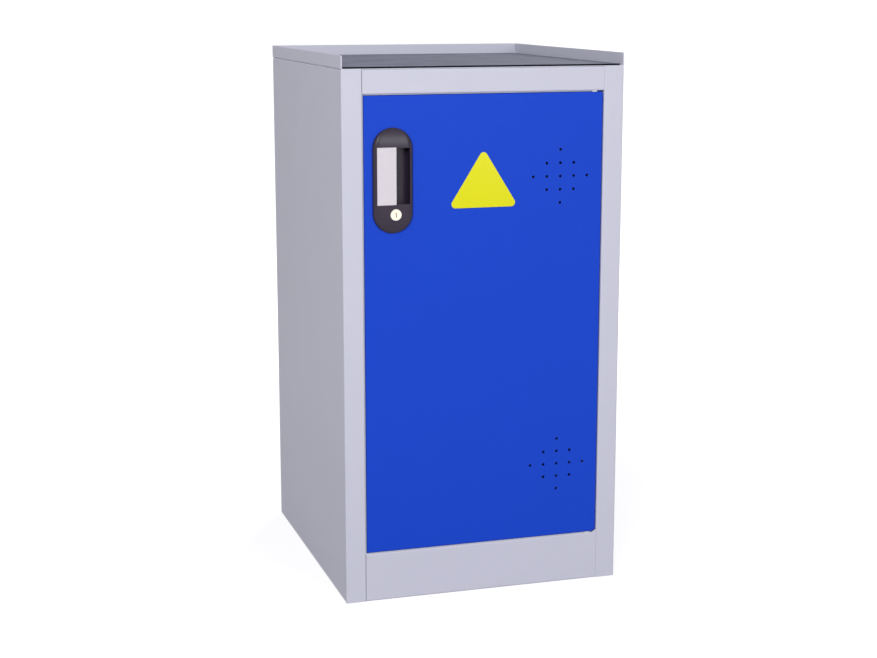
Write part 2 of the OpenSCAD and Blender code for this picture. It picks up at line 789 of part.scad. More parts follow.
module door_insulation() {
    rim = sheet_t + slip_gap + liner_t + soft_gap;
    d0 = sheet_t + soft_gap;
    d1 = door_t - liner_t - soft_gap;
    corner_x = pivot_x - bracket_reach - soft_gap;
    corner_h = sheet_t + pin_hold + soft_gap;
    color(wool) difference() {
        along_y(depth(d0), depth(d1)) polygon(inset(door_outline, rim));
        vent_windows(0, door_t);
        tub_room(0, door_t, soft_gap);
        bar_y(lock_x, lock_z, depth(0), depth(door_t), lock_body_d / 2 + soft_gap);
        for (z = screw_zs)
            bar_y(handle_x, z, depth(0), depth(door_t), screw_head_d / 2 + soft_gap);
        block([corner_x, depth(0), door_z0], [door_x1, depth(door_t), door_z0 + corner_h]);
        block([corner_x, depth(0), door_z1 - corner_h], [door_x1, depth(door_t), door_z1]);
    }
}

// Channel bracket on the back of the door's face, which holds a pin above and below
module hinge_bracket() {
    y0 = depth(sheet_t);
    y1 = depth(door_t - door_liner_fold - soft_gap);
    low = door_z0 + sheet_t;
    high = low + pin_hold;
    path = [[y1, high], [y0, high], [y0, low], [y1, low]];
    difference() {
        intersection() {
            along_x(pivot_x - bracket_reach, door_x1) polygon(folded(path, bracket_t, bend_r));
            along_y(y0, y1) polygon(inset(door_outline, sheet_t));
        }
        bar_z(pivot_x, pivot_y, low - over, high + over, pin_r + running_gap);
    }
}

// Mirrors what stands at the lower hinge to the upper one
module at_upper_hinge() {
    translate([0, 0, door_z0 + door_z1]) mirror([0, 0, 1]) children();
}

module lower_hinge_bracket() {
    color(zinc) hinge_bracket();
}

module upper_hinge_bracket() {
    color(zinc) at_upper_hinge() hinge_bracket();
}

// Hinge pin with bevelled ends, from the rail's bush up into the door
module hinge_pin() {
    z0 = sill_h - bush_len;
    z1 = door_z0 + sheet_t + pin_hold;
    bevel = pin_d / 8;
    translate([pivot_x, pivot_y, 0])
        rotate_extrude()
            polygon([[0, z0], [pin_r - bevel, z0], [pin_r, z0 + bevel], [pin_r, z1 - bevel],
                [pin_r - bevel, z1], [0, z1]]);
}

module lower_hinge_pin() {
    color(zinc) hinge_pin();
}

module upper_hinge_pin() {
    color(zinc) at_upper_hinge() hinge_pin();
}

// Half of the handle's section: distance from its middle line against height over the door
function handle_section() =
    let (
        flat = handle_w / 2 - handle_round_w,
        rise = handle_proud - handle_side_h,
        curve = [for (k = [0:curve_steps]) let (a = 90 * k / curve_steps)
            [flat + handle_round_w * cos(a), handle_side_h + rise * sin(a)]]
    )
    concat([[0, 0], [handle_w / 2, 0]], curve, [[0, handle_proud]]);

// Side view of the handle's crown in Y and Z: level along the card, then falling to both tips in an arc
function crown_outline() =
    let (
        drop = handle_proud - handle_side_h - dome_tip,
        r = (dome_l * dome_l + drop * drop) / (2 * drop),
        turn = asin(dome_l / r),
        centre = [y_front - handle_proud + r, handle_l / 2 - dome_l],
        upper = arc(centre, r, 180, 180 - turn, curve_steps),
        end = concat(upper, [[y_front - handle_side_h, handle_l / 2 + over],
            [y_front + over, handle_l / 2 + over]])
    )
    [for (p = concat(end, reverse([for (q = end) [q[0], -q[1]]]))) [p[0], handle_z + p[1]]];

// Rounded bar that stands on the door's face: a straight middle between two turned ends
module handle_bar() {
    half = handle_section();
    translate([handle_x, y_front, handle_z]) {
        for (end = [0, 1]) mirror([0, 0, end]) translate([0, 0, handle_end]) rotate([90, 0, 0])
            rotate_extrude(angle = 180) polygon(half);
        translate([0, 0, -handle_end]) linear_extrude(2 * handle_end) {
            polygon([for (p = half) [p[0], -p[1]]]);
            polygon([for (p = half) [-p[0], -p[1]]]);
        }
    }
}

// That bar with its crown domed at both ends, and a flat seat for the lock
module handle_body() {
    intersection() {
        handle_bar();
        along_x(handle_x - handle_w, handle_x + handle_w) polygon(crown_outline());
    }
    bar_y(lock_x, lock_z, y_front - handle_proud, y_front, lock_face_d / 2 + lock_seat_w);
}

// Section of the finger recess in X and Y: a scoop with a round floor that reaches behind the card plate
function recess_section() =
    let (
        mouth = y_front - handle_proud,
        floor_y = depth(recess_floor),
        plate_y = mouth + card_plate_t
    )
    concat([[recess_x0, plate_y], [recess_x0, mouth - over], [recess_x1, mouth - over]],
        arc([recess_x1 - recess_r, floor_y - recess_r], recess_r, 0, 90, curve_steps),
        arc([grip_x0 + recess_r / 2, floor_y - recess_r / 2], recess_r / 2, 90, 180, curve_steps),
        [[grip_x0, plate_y]]);

module handle_moulding() {
    cover_x0 = card_x0 - slip_gap;
    cover_x1 = card_x1 + slip_gap;
    cover_h = card_h / 2 + slip_gap;
    crown_y = y_front - handle_proud;
    color(black_plastic) difference() {
        union() {
            handle_body();
            tub_room(0, tub_floor, 0);
        }
        along_z(recess_z - recess_h / 2, recess_z + recess_h / 2) polygon(recess_section());
        block([cover_x0, crown_y - over, recess_z - cover_h],
            [cover_x1, crown_y + pocket_t, recess_z + cover_h]);
        bar_y(lock_x, lock_z, crown_y - over, y_front + over, lock_body_d / 2 + slip_gap);
        for (z = screw_zs)
            bar_y(handle_x, z, y_front - screw_bite - slip_gap, y_front + over, screw_d / 2 + running_gap);
    }
}

module handle_screws() {
    color(zinc) for (z = screw_zs) {
        bar_y(handle_x, z, depth(sheet_t), depth(sheet_t + screw_head_t), screw_head_d / 2);
        bar_y(handle_x, z, y_front - screw_bite, depth(sheet_t), screw_d / 2);
    }
}

module name_card() {
    back_y = y_front - handle_proud + pocket_t;
    color(card_white)
        block([card_x0, back_y - card_t, recess_z - card_h / 2], [card_x1, back_y, recess_z + card_h / 2]);
}

module card_cover() {
    back_y = y_front - handle_proud + pocket_t - card_t;
    color(card_white, 0.35)
        block([card_x0, back_y - cover_t, recess_z - card_h / 2], [card_x1, back_y, recess_z + card_h / 2]);
}

// Turned piece about the lock's axis from an outline of radius against depth behind the lock's face
module lock_turning(outline) {
    translate([lock_x, lock_face_y, lock_z]) rotate([-90, 0, 0]) rotate_extrude() polygon(outline);
}

// Depth of a place behind the lock's face
function lock_depth(d) = d + front_reach;

module lock_body() {
    face_r = lock_face_d / 2;
    bevel = lock_face_t / 3;
    end = lock_depth(lock_end);
    head_r = plug_head_d / 2 + running_gap;
    bore_r = plug_d / 2 + running_gap;
    color(zinc)
        lock_turning([[head_r, 0], [face_r - bevel, 0], [face_r, bevel], [face_r, lock_face_t],
            [lock_body_d / 2, lock_face_t], [lock_body_d / 2, end], [bore_r, end],
            [bore_r, plug_head_t], [head_r, plug_head_t]]);
}

module lock_nut() {
    color(zinc) difference() {
        nut_block();
        bar_y(lock_x, lock_z, depth(door_t - over), depth(door_t + nut_t + over),
            lock_body_d / 2 + running_gap);
    }
}

// Six-sided block behind the door that the lock nut is cut from
module nut_block() {
    translate([lock_x, depth(door_t + nut_t), lock_z]) rotate([90, 0, 0])
        cylinder(h = nut_t, d = nut_flats / cos(30), $fn = 6);
}

module lock_plug() {
    end = lock_depth(lock_end);
    tail_y1 = cam_y + cam_t;
    half = tail_w / 2;
    color(zinc) difference() {
        union() {
            lock_turning([[0, 0], [plug_head_d / 2, 0], [plug_head_d / 2, plug_head_t - running_gap],
                [plug_d / 2, plug_head_t - running_gap], [plug_d / 2, end], [0, end]]);
            block([lock_x - half, depth(lock_end), lock_z - half], [lock_x + half, tail_y1, lock_z + half]);
        }
        block([lock_x - keyway_w / 2, lock_face_y - over, lock_z - keyway_h / 2],
            [lock_x + keyway_w / 2, lock_face_y + plug_d, lock_z + keyway_h / 2]);
        bar_y(lock_x, lock_z, tail_y1 - cam_screw_bite - slip_gap, tail_y1 + over,
            cam_screw_d / 2 + running_gap);
    }
}

module lock_cam() {
    half = tail_w / 2 + slip_gap;
    tip_z = lock_z - cam_len + cam_w / 2;
    color(zinc) difference() {
        union() {
            bar_y(lock_x, lock_z, cam_y, cam_y + cam_t, cam_hub_d / 2);
            block([lock_x - cam_w / 2, cam_y, tip_z], [lock_x + cam_w / 2, cam_y + cam_t, lock_z]);
            bar_y(lock_x, tip_z, cam_y, cam_y + cam_t, cam_w / 2);
        }
        block([lock_x - half, cam_y - over, lock_z - half],
            [lock_x + half, cam_y + cam_t + over, lock_z + half]);
    }
}

module cam_screw() {
    face = cam_y + cam_t;
    head = face + cam_screw_head_t;
    color(zinc) {
        difference() {
            bar_y(lock_x, lock_z, face, head, cam_screw_head_d / 2);
            for (arm = [[cross_l, cross_w], [cross_w, cross_l]])
                block([lock_x - arm[0] / 2, head - cross_d, lock_z - arm[1] / 2],
                    [lock_x + arm[0] / 2, head + over, lock_z + arm[1] / 2]);
        }
        bar_y(lock_x, lock_z, face - cam_screw_bite, face, cam_screw_d / 2);
    }
}

side_panel_left();
side_panel_right();
back_panel();
base_panel();
top_rail();
bottom_rail();
worktop_tray();
worktop_mat();
liner_left();
liner_right();
liner_back();
liner_top();
sump_pan();
insulation_left();
insulation_right();
insulation_back();
insulation_top();
insulation_base();
shelf_uprights();
shelf_clips();
lower_shelf();
upper_shelf();
door_seal();
lock_keeper();
lower_hinge_bush();
upper_hinge_bush();
door_skin();
door_liner();
door_insulation();
lower_hinge_bracket();
upper_hinge_bracket();
lower_hinge_pin();
upper_hinge_pin();
handle_moulding();
handle_screws();
name_card();
card_cover();
lock_body();
lock_nut();
lock_plug();
lock_cam();
cam_screw();
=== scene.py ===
"""Looks of a free-standing fireproof safety cabinet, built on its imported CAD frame.

Folded sheets, the door, its fittings and the interior keep the frame's shapes, with folds shaded round.
The mat, the card's cover, the door plate and the handle's crown are modelled here as numpy surfaces.
"""
import json
import math

import bmesh
import bpy
import numpy as np
from bpy.props import FloatProperty, FloatVectorProperty, PointerProperty
from bpy.types import Operator, Panel, PropertyGroup
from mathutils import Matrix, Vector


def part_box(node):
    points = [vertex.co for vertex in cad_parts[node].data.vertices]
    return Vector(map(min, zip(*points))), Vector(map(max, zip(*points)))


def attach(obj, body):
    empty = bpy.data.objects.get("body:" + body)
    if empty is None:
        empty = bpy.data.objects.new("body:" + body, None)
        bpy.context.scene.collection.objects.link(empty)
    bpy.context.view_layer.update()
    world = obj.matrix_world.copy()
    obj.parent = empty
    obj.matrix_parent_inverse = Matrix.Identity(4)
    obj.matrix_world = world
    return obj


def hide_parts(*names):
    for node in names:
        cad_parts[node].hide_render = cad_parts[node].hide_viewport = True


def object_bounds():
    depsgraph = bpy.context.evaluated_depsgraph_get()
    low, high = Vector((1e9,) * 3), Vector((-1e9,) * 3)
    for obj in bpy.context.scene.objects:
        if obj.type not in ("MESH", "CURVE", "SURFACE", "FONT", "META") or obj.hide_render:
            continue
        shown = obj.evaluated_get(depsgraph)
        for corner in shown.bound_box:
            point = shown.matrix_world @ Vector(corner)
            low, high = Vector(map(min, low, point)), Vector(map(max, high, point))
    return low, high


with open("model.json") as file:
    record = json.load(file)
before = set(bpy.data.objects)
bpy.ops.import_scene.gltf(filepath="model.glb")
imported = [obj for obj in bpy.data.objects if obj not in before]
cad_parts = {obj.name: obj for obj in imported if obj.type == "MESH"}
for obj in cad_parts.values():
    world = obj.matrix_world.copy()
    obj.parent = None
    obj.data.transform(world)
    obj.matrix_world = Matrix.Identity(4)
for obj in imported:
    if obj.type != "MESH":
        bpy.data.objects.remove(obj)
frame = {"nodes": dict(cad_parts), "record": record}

bl_info = {
    "name": "Safety cabinet looks",
    "version": (1, 0, 0),
    "blender": (4, 5, 0),
    "location": "3D View > Sidebar > Cabinet",
    "description": "Gives a fireproof safety cabinet its finishes, fittings and studio stage",
    "category": "Object",
}

MM = 0.001
CAD_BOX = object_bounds()
RECORD = frame["record"]
BODY_OF = {node: body for body, nodes in RECORD["behaviour"]["bodies"].items() for node in nodes}
SLOT_OF = {part["node"]: part["material_slot"] for part in RECORD["subparts"]}

# Folds and moulded rounds turn by less than this from facet to facet, real corners by more
FOLD_ANGLE = math.radians(32)
# Triangles that turn by less than this are one flat face
FLAT_ANGLE = math.radians(0.1)
# Corners of loose triangles that lie closer than this are one corner
WELD_GAP = 0.001 * MM
# How far large faces outweigh small ones in a corner's normal, where 50 is even
FACE_WEIGHT = 90
# Points on a quarter turn of an edge, on the arc of a corner and on the handle's crown
EDGE_POINTS = 8
CORNER_POINTS = 16
CROWN_POINTS = 24
# Power that joins the two falls of the handle's crown: the lower it is, the wider their crease is rounded
CREASE_POWER = 4


def linear(code):
    """Linear red, green and blue of an sRGB hex colour."""
    channels = np.array([int(code[i:i + 2], 16) for i in (0, 2, 4)]) / 255
    low = channels / 12.92
    high = ((channels + 0.055) / 1.055) ** 2.4
    return tuple(float(c) for c in np.where(channels <= 0.04045, low, high))


def colour(name, description, code):
    """Colour setting whose default is an sRGB hex value."""
    return FloatVectorProperty(name=name, description=description, default=linear(code), size=3,
                               min=0, max=1, subtype="COLOR")


def length(name, description, millimetres):
    """Length setting whose default is given in millimetres."""
    return FloatProperty(name=name, description=description, default=millimetres * MM, unit="LENGTH")


def point(name, description, metres):
    """Setting of a point in space whose default is given in metres."""
    return FloatVectorProperty(name=name, description=description, default=metres, size=3,
                               subtype="TRANSLATION", unit="LENGTH")


def angle(name, description, degrees):
    """Angle setting whose default is given in degrees."""
    return FloatProperty(name=name, description=description, default=math.radians(degrees),
                         subtype="ANGLE")


def number(name, description, value, unit="NONE"):
    """Setting of one number, with its unit where it has one."""
    return FloatProperty(name=name, description=description, default=value, unit=unit)


class CabinetFinishes(PropertyGroup):
    """Colours of the cabinet's materials."""

    grey_paint: colour("Grey paint", "Powder coat of the carcass", "D0D0DF")
    blue_paint: colour("Blue paint", "Powder coat of the door", "1847CC")
    # The mat's top colour is its grey and also paints in the sheen of a low view; its edge colour is
    # painted shade on the cut edges
    mat_top_and_sheen: colour("Mat", "Worn upper side of the rubber mat", "7D7F92")
    mat_edge_shade: colour("Mat edge", "Cut edge of the rubber mat", "14131C")
    handle_black: colour("Handle", "Moulded plastic of the handle", "2E2636")
    card_white: colour("Card", "Blank name card", "E0D9E0")
    cover_clear: colour("Card cover", "Clear cover of the name card", "F4F4F8")
    plate_yellow: colour("Door plate", "Enamel of the blank door plate", "E6E303")
    nickel: colour("Lock", "Nickel plating of the lock", "E8DFD0")
    zinc: colour("Zinc", "Zinc plating of screws, pins and clips", "C3C5C9")
    galvanised: colour("Shelves", "Galvanised sheet of the shelves", "BFC2C6")
    seal_grey: colour("Seal", "Rubber of the door seal", "C4C6CA")
    nylon: colour("Bushes", "Natural nylon of the hinge bushes", "EAE6D8")
    board: colour("Boards", "Calcium silicate of the insulating boards", "DAD3C2")


class CabinetFittings(PropertyGroup):
    """Sizes of the pieces that are modelled here."""

    edge_round: length("Edge round", "Radius of the mat's cut edges", 0.5)
    mat_corner: length("Mat corner", "Radius of the mat's corners", 1.5)
    cover_round: length("Cover round", "Radius of the card cover's edges", 0.4)
    cover_gap: length("Cover gap", "Air between the cover and the card", 0.05)
    crown_round: length("Crown round", "Width of the rounded edge of the handle's crown", 11)
    crown_side: length("Crown side", "Straight height of the handle's side", 2)
    dome_length: length("Dome length", "Length of the handle's domed ends", 32)
    dome_fall: length("Dome fall", "Fall of the dome at the handle's tips", 6.2)
    seat_edge: length("Seat edge", "Level rim of the handle round the lock's face", 0.2)
    crown_skin: length("Crown skin", "Depth of the smooth crown inside the frame's facets", 0.08)
    crown_step: length("Crown step", "Mesh width of the handle's crown", 1.5)
    plate_width: length("Plate width", "Width of the blank door plate", 125)
    plate_height: length("Plate height", "Height of the blank door plate", 100)
    plate_corner: length("Plate corner", "Radius of the plate's corners", 7)
    plate_thick: length("Plate thickness", "Thickness of the plate", 0.8)
    plate_right: length("Plate place", "Distance of the plate's middle from the door's middle", -3.5)
    plate_drop: length("Plate drop", "Distance of the plate's tip below the door's top", 91.5)


class CabinetStage(PropertyGroup):
    """Camera, lamps, surroundings and floor."""

    lens: number("Lens", "Focal length on a 36 mm sensor", 69.098, "CAMERA")
    place: point("Camera", "Place of the camera", (-0.9116, -2.9653, 1.04))
    yaw: angle("Yaw", "Turn of the camera to the right", 17.082)
    pitch: angle("Pitch", "Tilt of the camera downwards", 11.298)
    ambient: number("Ambient", "Strength of the white surroundings", 0.355)
    lamp_aim: point("Lamp aim", "Point that the lamps face", (0, -0.27, 0.62))
    key_place: point("Key lamp", "Place of the soft key lamp", (-2.0, -3.5, 2.6))
    key_size: number("Key size", "Side of the key lamp", 1.6, "LENGTH")
    key_power: number("Key power", "Power of the key lamp", 99, "POWER")
    fill_place: point("Fill lamp", "Place of the weak fill lamp", (0.8, -3.5, 1.4))
    fill_size: number("Fill size", "Side of the fill lamp", 0.9, "LENGTH")
    fill_power: number("Fill power", "Power of the fill lamp", 25, "POWER")
    back_place: point("Back lamp", "Place of the lamp behind the cabinet", (2.0, 3.0, 2.2))
    back_size: number("Back size", "Side of the back lamp", 1.4, "LENGTH")
    back_power: number("Back power", "Power of the back lamp", 46, "POWER")
    floor_grey: colour("Floor colour", "Pale floor, which lights the cabinet from below", "B2B2B7")
    floor_side: number("Floor", "Side of the floor", 60, "LENGTH")
    floor_glow: number("Floor glow", "White added to the floor near the cabinet", 0.72)
    floor_near: number("Shadow zone", "Distance at which the floor starts to whiten", 0.6, "LENGTH")
    floor_far: number("White zone", "Distance at which the floor is white", 1.6, "LENGTH")


def per_mm(size):
    """Texture scale on Object coordinates, in metres, for features of a size in millimetres."""
    return 1 / (size * MM)


def add(tree, kind, inputs=None, **settings):
    """Adds a node, sets its properties, and sets or links each named input."""
    node = tree.nodes.new(kind)
    for name, value in settings.items():
        setattr(node, name, value)
    for name, value in (inputs or {}).items():
        if isinstance(value, bpy.types.NodeSocket):
            tree.links.new(value, node.inputs[name])
        else:
            node.inputs[name].default_value = value
    return node


def start(name, constants):
    """New material with its shader's constant values; returns it, its tree, shader and coordinates."""
    material = bpy.data.materials.new(name)
    material.use_nodes = True
    tree = material.node_tree
    shader = tree.nodes["Principled BSDF"]
    for socket, value in constants.items():
        shader.inputs[socket].default_value = value
    place = add(tree, "ShaderNodeTexCoord").outputs["Object"]
    return material, tree, shader, place


def shade(rgb, factor=1):
    """Linear colour made lighter or darker by a factor, with full opacity."""
    return tuple(min(1.0, c * factor) for c in rgb) + (1.0,)


def vary(tree, shader, rgb, height, spread):
    """Links a base colour that moves by a share of itself each way as height goes from 0 to 1."""
    mix = add(tree, "ShaderNodeMix", {"Factor": height}, data_type="RGBA")
    mix.inputs["A"].default_value = shade(rgb, 1 - spread)
    mix.inputs["B"].default_value = shade(rgb, 1 + spread)
    tree.links.new(mix.outputs["Result"], shader.inputs["Base Color"])


def roughen(tree, shader, height, low, high):
    """Links a roughness that goes from low to high as height goes from 0 to 1."""
    span = add(tree, "ShaderNodeMapRange", {"Value": height, "To Min": low, "To Max": high})
    tree.links.new(span.outputs["Result"], shader.inputs["Roughness"])


def emboss(tree, shader, height, depth_mm, strength):
    """Links a bump whose full height is a depth in millimetres."""
    bump = add(tree, "ShaderNodeBump", {"Height": height, "Distance": depth_mm * MM,
                                        "Strength": strength})
    tree.links.new(bump.outputs["Normal"], shader.inputs["Normal"])


def noise(tree, place, size_mm, detail=2.0):
    """Height from 0 to 1 of a noise whose lumps have a size in millimetres."""
    texture = add(tree, "ShaderNodeTexNoise", {"Vector": place, "Scale": per_mm(size_mm),
                                               "Detail": detail})
    return texture.outputs["Fac"]


def powder_coat(name, rgb):
    """Polyester powder coat, sprayed and baked on sheet steel.

    A satin skin with a fine orange peel and a faint cloudiness of the colour. The peel is about
    1 mm wide on the real sheet and is drawn 2.4 mm wide, so that it shows.
    """
    material, tree, shader, place = start(name, {"IOR": 1.5, "Specular IOR Level": 0.12})
    vary(tree, shader, rgb, noise(tree, place, size_mm=90, detail=3), spread=0.018)
    roughen(tree, shader, noise(tree, place, size_mm=12), low=0.45, high=0.56)
    emboss(tree, shader, noise(tree, place, size_mm=2.4), depth_mm=0.03, strength=0.25)
    return material


def worn_rubber(name, top, edge):
    """Calendered rubber matting, coloured by which way each face points: upward faces are grey, a grey
    that also paints in the sheen of a low view, and sideways faces are near black as painted shade.

    Its top shows a fine grain, patches some 55 mm wide from use and faint lengthwise streaks from the
    rollers, and its cut edges are painted near black as shade.
    """
    material, tree, shader, place = start(name, {"IOR": 1.52, "Specular IOR Level": 0.08})
    drawn_out = add(tree, "ShaderNodeMapping", {"Vector": place, "Scale": (0.08, 1, 1)})
    streak = noise(tree, drawn_out.outputs["Vector"], size_mm=9, detail=3)
    patch = noise(tree, place, size_mm=55, detail=5)
    worn = add(tree, "ShaderNodeMix", {"Factor": 0.6, "A": streak, "B": patch}, data_type="FLOAT")
    grain = noise(tree, place, size_mm=1.8, detail=4)
    even = add(tree, "ShaderNodeMapRange", {"Value": worn.outputs["Result"],
                                            "From Min": 0.35, "From Max": 0.65})
    upper = add(tree, "ShaderNodeMix", {"Factor": even.outputs["Result"]}, data_type="RGBA")
    upper.inputs["A"].default_value = shade(top, 0.8)
    upper.inputs["B"].default_value = shade(top, 1.2)
    # Painted shade and sheen: by the Z of each face's normal, sideways faces take the near-black edge
    # colour and upward faces the grey top colour
    normal = add(tree, "ShaderNodeNewGeometry").outputs["Normal"]
    facing = add(tree, "ShaderNodeSeparateXYZ", {"Vector": normal})
    facing_shade_mask = add(tree, "ShaderNodeMapRange", {"Value": facing.outputs["Z"],
                                              "From Min": 0.5, "From Max": 0.9})
    skin = add(tree, "ShaderNodeMix", {"Factor": facing_shade_mask.outputs["Result"],
                                       "B": upper.outputs["Result"]}, data_type="RGBA")
    skin.inputs["A"].default_value = shade(edge)
    tree.links.new(skin.outputs["Result"], shader.inputs["Base Color"])
    roughen(tree, shader, grain, low=0.8, high=0.95)
    emboss(tree, shader, grain, depth_mm=0.12, strength=0.5)
    return material


def eroded_plastic(name, rgb):
    """Injection-moulded ABS from a spark-eroded mould: satin black with a fine even grain.

    The grain is about 0.3 mm wide on the real moulding and is drawn 0.9 mm wide, so that it shows.
    """
    material, tree, shader, place = start(name, {"IOR": 1.53, "Specular IOR Level": 0.25})
    grain = noise(tree, place, size_mm=0.9, detail=3)
    vary(tree, shader, rgb, noise(tree, place, size_mm=25), spread=0.06)
    roughen(tree, shader, grain, low=0.28, high=0.36)
    emboss(tree, shader, grain, depth_mm=0.04, strength=0.35)
    return material


def zinc_plate(name, rgb):
    """Zinc plating on pressed and turned steel: a pale metal with soft mottling from the bath."""
    material, tree, shader, place = start(name, {"Metallic": 1.0})
    vary(tree, shader, rgb, noise(tree, place, size_mm=7, detail=3), spread=0.06)
    roughen(tree, shader, noise(tree, place, size_mm=3, detail=3), low=0.28, high=0.46)
    emboss(tree, shader, noise(tree, place, size_mm=1.2), depth_mm=0.02, strength=0.2)
    return material


def galvanised_sheet(name, rgb):
    """Hot-dip galvanised sheet: zinc crystals some 9 mm wide, each with its own brightness."""
    material, tree, shader, place = start(name, {"Metallic": 1.0})
    cells = add(tree, "ShaderNodeTexVoronoi", {"Vector": place, "Scale": per_mm(9), "Randomness": 1.0})
    bright = add(tree, "ShaderNodeSeparateColor", {"Color": cells.outputs["Color"]}).outputs["Red"]
    vary(tree, shader, rgb, bright, spread=0.09)
    roughen(tree, shader, bright, low=0.34, high=0.52)
    emboss(tree, shader, noise(tree, place, size_mm=4, detail=3), depth_mm=0.02, strength=0.2)
    return material


def nickel_plate(name, rgb):
    """Bright nickel on die-cast zinc: a warm polished metal with a trace of handling."""
    material, tree, shader, place = start(name, {"Metallic": 1.0})
    vary(tree, shader, rgb, noise(tree, place, size_mm=5), spread=0.03)
    roughen(tree, shader, noise(tree, place, size_mm=1.5, detail=3), low=0.16, high=0.28)
    return material


def card_stock(name, rgb):
    """Uncoated card: matt, with a faint fibre."""
    material, tree, shader, place = start(name, {"IOR": 1.5, "Specular IOR Level": 0.2,
                                                 "Roughness": 0.85})
    fibre = noise(tree, place, size_mm=1.6, detail=5)
    vary(tree, shader, rgb, fibre, spread=0.02)
    emboss(tree, shader, fibre, depth_mm=0.03, strength=0.3)
    return material


def clear_acrylic(name, rgb):
    """Extruded acrylic strip: almost invisible but for a soft gloss and a few fine scuffs."""
    material, tree, shader, place = start(name, {"IOR": 1.49, "Specular IOR Level": 0.4, "Alpha": 0.03})
    vary(tree, shader, rgb, noise(tree, place, size_mm=20), spread=0.02)
    roughen(tree, shader, noise(tree, place, size_mm=2.5, detail=5), low=0.06, high=0.2)
    return material


def enamel(name, rgb):
    """Stove enamel on a thin pressed plate: an even satin gloss with a slight flow of the surface."""
    material, tree, shader, place = start(name, {"IOR": 1.5, "Specular IOR Level": 0.25,
                                                 "Coat Weight": 0.1, "Coat Roughness": 0.15})
    vary(tree, shader, rgb, noise(tree, place, size_mm=45), spread=0.012)
    roughen(tree, shader, noise(tree, place, size_mm=8), low=0.28, high=0.4)
    emboss(tree, shader, noise(tree, place, size_mm=6), depth_mm=0.02, strength=0.2)
    return material


def soft_rubber(name, rgb):
    """Extruded sponge rubber: dull grey with a fine open grain."""
    material, tree, shader, place = start(name, {"IOR": 1.52, "Specular IOR Level": 0.3})
    grain = noise(tree, place, size_mm=1.1, detail=4)
    vary(tree, shader, rgb, grain, spread=0.12)
    roughen(tree, shader, grain, low=0.7, high=0.9)
    emboss(tree, shader, grain, depth_mm=0.1, strength=0.4)
    return material


def natural_nylon(name, rgb):
    """Turned natural nylon: milky, slightly translucent, with fine tool rings."""
    material, tree, shader, place = start(name, {"IOR": 1.53, "Subsurface Weight": 0.15,
                                                 "Subsurface Scale": 2 * MM})
    vary(tree, shader, rgb, noise(tree, place, size_mm=6), spread=0.03)
    rings = add(tree, "ShaderNodeTexWave", {"Vector": place, "Scale": per_mm(4), "Distortion": 0.5},
                bands_direction="Z")
    roughen(tree, shader, rings.outputs["Fac"], low=0.38, high=0.5)
    return material


def silicate_board(name, rgb):
    """Pressed calcium silicate board: chalky off-white with a fibrous, dusty face."""
    material, tree, shader, place = start(name, {"IOR": 1.5, "Specular IOR Level": 0.15})
    fibre = noise(tree, place, size_mm=5, detail=6)
    vary(tree, shader, rgb, fibre, spread=0.08)
    roughen(tree, shader, fibre, low=0.85, high=0.98)
    emboss(tree, shader, fibre, depth_mm=0.25, strength=0.5)
    return material


def paint_node(node, material):
    """Puts a material on a CAD node that keeps its own mesh."""
    slots = frame["nodes"][node].data.materials
    slots.clear()
    slots.append(material)


def settle(piece, node, material):
    """Lets a finished piece stand for a CAD node: it joins the node's body and takes a new material, and
    the node is hidden.
    """
    piece.data.materials.clear()
    piece.data.materials.append(material)
    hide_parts(node)
    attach(piece, BODY_OF[node])


def link_piece(name, mesh):
    """Links a new object that holds the mesh at the origin."""
    piece = bpy.data.objects.new(name, mesh)
    bpy.context.scene.collection.objects.link(piece)
    return piece


def round_folds(mesh):
    """Shades a mesh smooth, with sharp edges only where it turns by more than a fold's facet.

    Corner normals that came with the frame would hide some of these edges, so they go first.
    """
    stored = mesh.attributes.get("custom_normal")
    if stored:
        mesh.attributes.remove(stored)
    mesh.shade_smooth()
    mesh.set_sharp_from_angle(angle=FOLD_ANGLE)


def weld(mesh):
    """Joins the corners of a mesh of loose triangles."""
    shell = bmesh.new()
    shell.from_mesh(mesh)
    bmesh.ops.remove_doubles(shell, verts=shell.verts, dist=WELD_GAP)
    shell.to_mesh(mesh)
    shell.free()


def merge_flats(mesh):
    """Merges the triangles that lie in one plane, so that a flat sheet is one face."""
    shell = bmesh.new()
    shell.from_mesh(mesh)
    bmesh.ops.dissolve_limit(shell, angle_limit=FLAT_ANGLE, verts=shell.verts, edges=shell.edges)
    shell.to_mesh(mesh)
    shell.free()


def welded_copy(node):
    """Copy of a CAD node's mesh with its triangles welded."""
    mesh = frame["nodes"][node].data.copy()
    weld(mesh)
    return mesh


def dress(node, mesh, material):
    """Puts a mesh in a CAD node's place, with folds and rounds shaded as curves.

    Each corner's normal is weighted by the area of the faces round it, which keeps flat sheets flat.
    """
    round_folds(mesh)
    piece = link_piece(node + "_skin", mesh)
    weight = piece.modifiers.new("Flat faces", "WEIGHTED_NORMAL")
    weight.keep_sharp = True
    weight.weight = FACE_WEIGHT
    settle(piece, node, material)


def smooth_copy(node, material):
    """Puts a smoothly shaded copy in a CAD node's place."""
    mesh = welded_copy(node)
    merge_flats(mesh)
    dress(node, mesh, material)


def trimmed(mesh, solid):
    """Mesh of what lies inside both a closed mesh and a solid, which are used up."""
    whole = link_piece("whole", mesh)
    trim = whole.modifiers.new("Trim", "BOOLEAN")
    trim.operation = "INTERSECT"
    trim.solver = "EXACT"
    trim.object = solid
    depsgraph = bpy.context.evaluated_depsgraph_get()
    result = bpy.data.meshes.new_from_object(whole.evaluated_get(depsgraph))
    for spent in (whole, solid):
        bpy.data.objects.remove(spent)
    weld(result)
    return result


